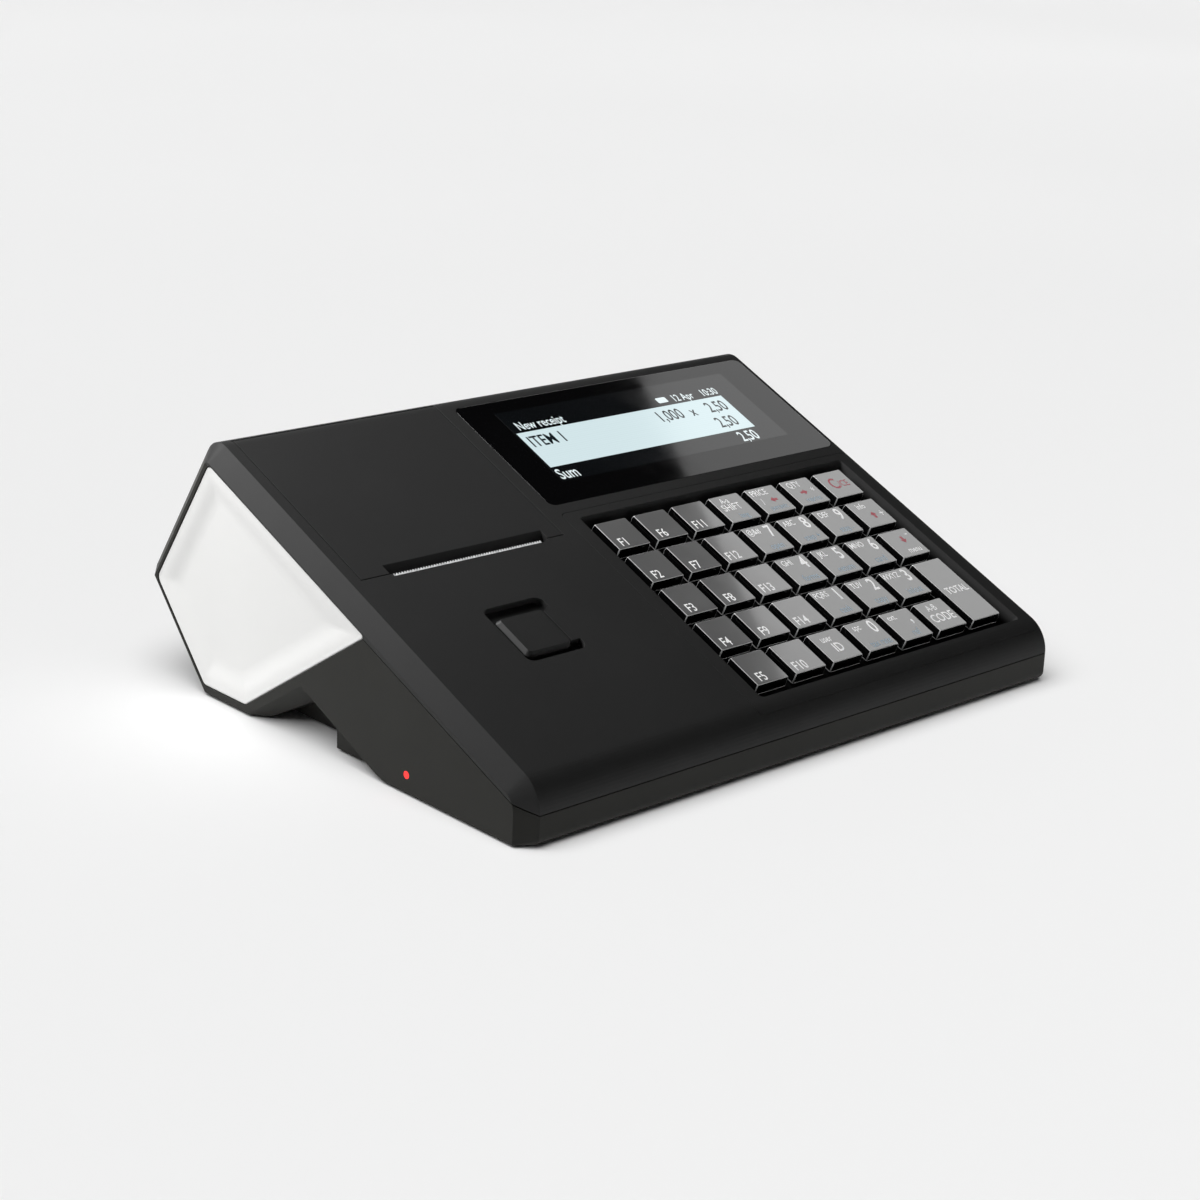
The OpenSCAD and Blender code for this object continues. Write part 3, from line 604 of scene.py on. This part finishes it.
def add_display():
    """The dark viewing area, its lit band and the characters, as thin layers on the window."""
    top = face_box("display_window")[1].z
    layer = 0.02 * MM
    view_lo, view_hi = Vector((-9.95, 120.2)) * MM, Vector((99.4, 159.3)) * MM
    lit_lo, lit_hi = Vector((-9.3, 127.9)) * MM, Vector((89.1, 147.4)) * MM
    glass = sheet("lcd_view_area", view_lo, view_hi, top, layer, 0.8 * MM, MATERIALS["lcd_glass"])
    lit = sheet("lcd_lit_area", lit_lo, lit_hi, top + layer, layer, 0.1 * MM, MATERIALS["lcd_lit"])
    ink_place = FACE @ Matrix.Translation((0, 0, top + 0.05 * MM))
    # (words, size, x of the middle, y of the foot) in millimetres on the top face
    dark = [
        ("ITEM 1", 8.2, 0.5, 139.2), ("1,000", 8.2, 58.5, 139.4), ("x", 7.2, 69.6, 139.4),
        ("2,50", 8.2, 82, 139.4), ("2,50", 8.2, 79.5, 130.6),
    ]
    pale = [
        ("New receipt", 6.2, 4, 148.7), ("12 Apr", 5.4, 72, 148.7), ("10:30", 5.4, 85.3, 148.7),
        ("Sum", 7.6, -5, 121.2), ("2,50", 7.6, 82, 121.4),
    ]
    battery = sheet(
        "lcd_battery", Vector((59.6, 149.2)) * MM, Vector((64.4, 152.2)) * MM,
        top + 2 * layer, layer, 0.6 * MM, MATERIALS["lcd_text"],
    )
    texts = []
    for name, words, ink in (("lcd_digits", dark, "lcd_ink"), ("lcd_status", pale, "lcd_text")):
        marks = [(text_shape(w, s * MM, 0.68, 0.012), (x * MM, y * MM), 0) for w, s, x, y in words]
        texts.append(print_on(name, marks, ink_place, [MATERIALS[ink]]))
    for piece in (glass, lit, battery, *texts):
        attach(piece, "case")


def add_customer_display():
    """The lit area and digits of the small display on the back."""
    node = NODES["customer_display"]
    normal = Vector((0.0, 0.833, 0.553))
    up = Vector((0.0, -0.553, 0.833))
    across = up.cross(normal)
    points = [node.matrix_world @ v.co for v in node.data.vertices]
    depth = max(p.dot(normal) for p in points)
    front = [p for p in points if p.dot(normal) > depth - 0.1 * MM]
    centre = sum(front, Vector()) / len(front)
    turn = Matrix((across, up, normal)).transposed().to_4x4()
    place = Matrix.Translation(centre + normal * 0.02 * MM) @ turn
    half = Vector((31.0, 9.0)) * MM
    lit = sheet("customer_lit_area", -half, half, 0.0, 0.02 * MM, 0.3 * MM, MATERIALS["lcd_lit"], place)
    marks = [(text_shape("2,50", 13 * MM, 0.8, 0.01), (8 * MM, -4.6 * MM), 0)]
    ink_place = place @ Matrix.Translation((0, 0, 0.04 * MM))
    digits = print_on("customer_digits", marks, ink_place, [MATERIALS["lcd_ink"]])
    for piece in (lit, digits):
        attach(piece, "case")


# ---------------------------------------------------------------- side panels


def add_side_panels():
    """Dished white panels with a softly rounded rim and a flat middle."""
    outline_mm = ((39.5, 3.2), (62.7, 3.2), (89.3, 33.4), (58.9, 78.4), (-22.4, 43.6))
    corners = [Vector(c) * MM for c in outline_mm]
    rim_radii = (3.0, 3.0, 3.0, 2.5, 1.0)
    # (inset, depth below the side face, added corner radius) in millimetres, from the rim inwards
    profile = [
        (0.15, 2.4, 0), (0.15, 0.55, 0), (0.22, 0.35, 0),
        (0.4, 0.25, 0), (0.8, 0.25, 0), (1.1, 0.3, 0),
    ]
    slope_start, slope_end = 1.1, 10.6
    depth_start, depth_end = 0.3, 1.6
    steps = 14
    for k in range(1, steps + 1):
        t = k / steps
        ease = t - 0.09 * math.sin(2 * math.pi * t)
        inset = slope_start + (slope_end - slope_start) * t
        profile.append((inset, depth_start + (depth_end - depth_start) * ease, 3.2 * t))
    for side, name in ((-1, "side_panel_left"), (1, "side_panel_right")):
        lo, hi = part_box(name)
        outer = (lo[0] if side < 0 else hi[0]) + side * 0.2 * MM
        rings = []
        for inset, depth, extra in profile:
            radii = [max(0.3, r - inset * 0.3 + extra) * MM for r in rim_radii]
            outline = rounded(inset_corners(corners, inset * MM), radii, 5)
            rings.append([(outer - side * depth * MM, p[0], p[1]) for p in outline])
        panel = loft(f"{name}_shell", rings, Matrix.Identity(4), [MATERIALS["panel"]], smooth=True)
        fix_normals(panel)
        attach(panel, "case")
        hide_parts(name)


def fix_normals(obj):
    """Turns every face outwards."""
    shape = bmesh.new()
    shape.from_mesh(obj.data)
    bmesh.ops.recalc_face_normals(shape, faces=shape.faces)
    shape.to_mesh(obj.data)
    shape.free()


add_camera()
dress_nodes()
add_keys()
add_display()
add_customer_display()
add_side_panels()
add_lights(add_floor())
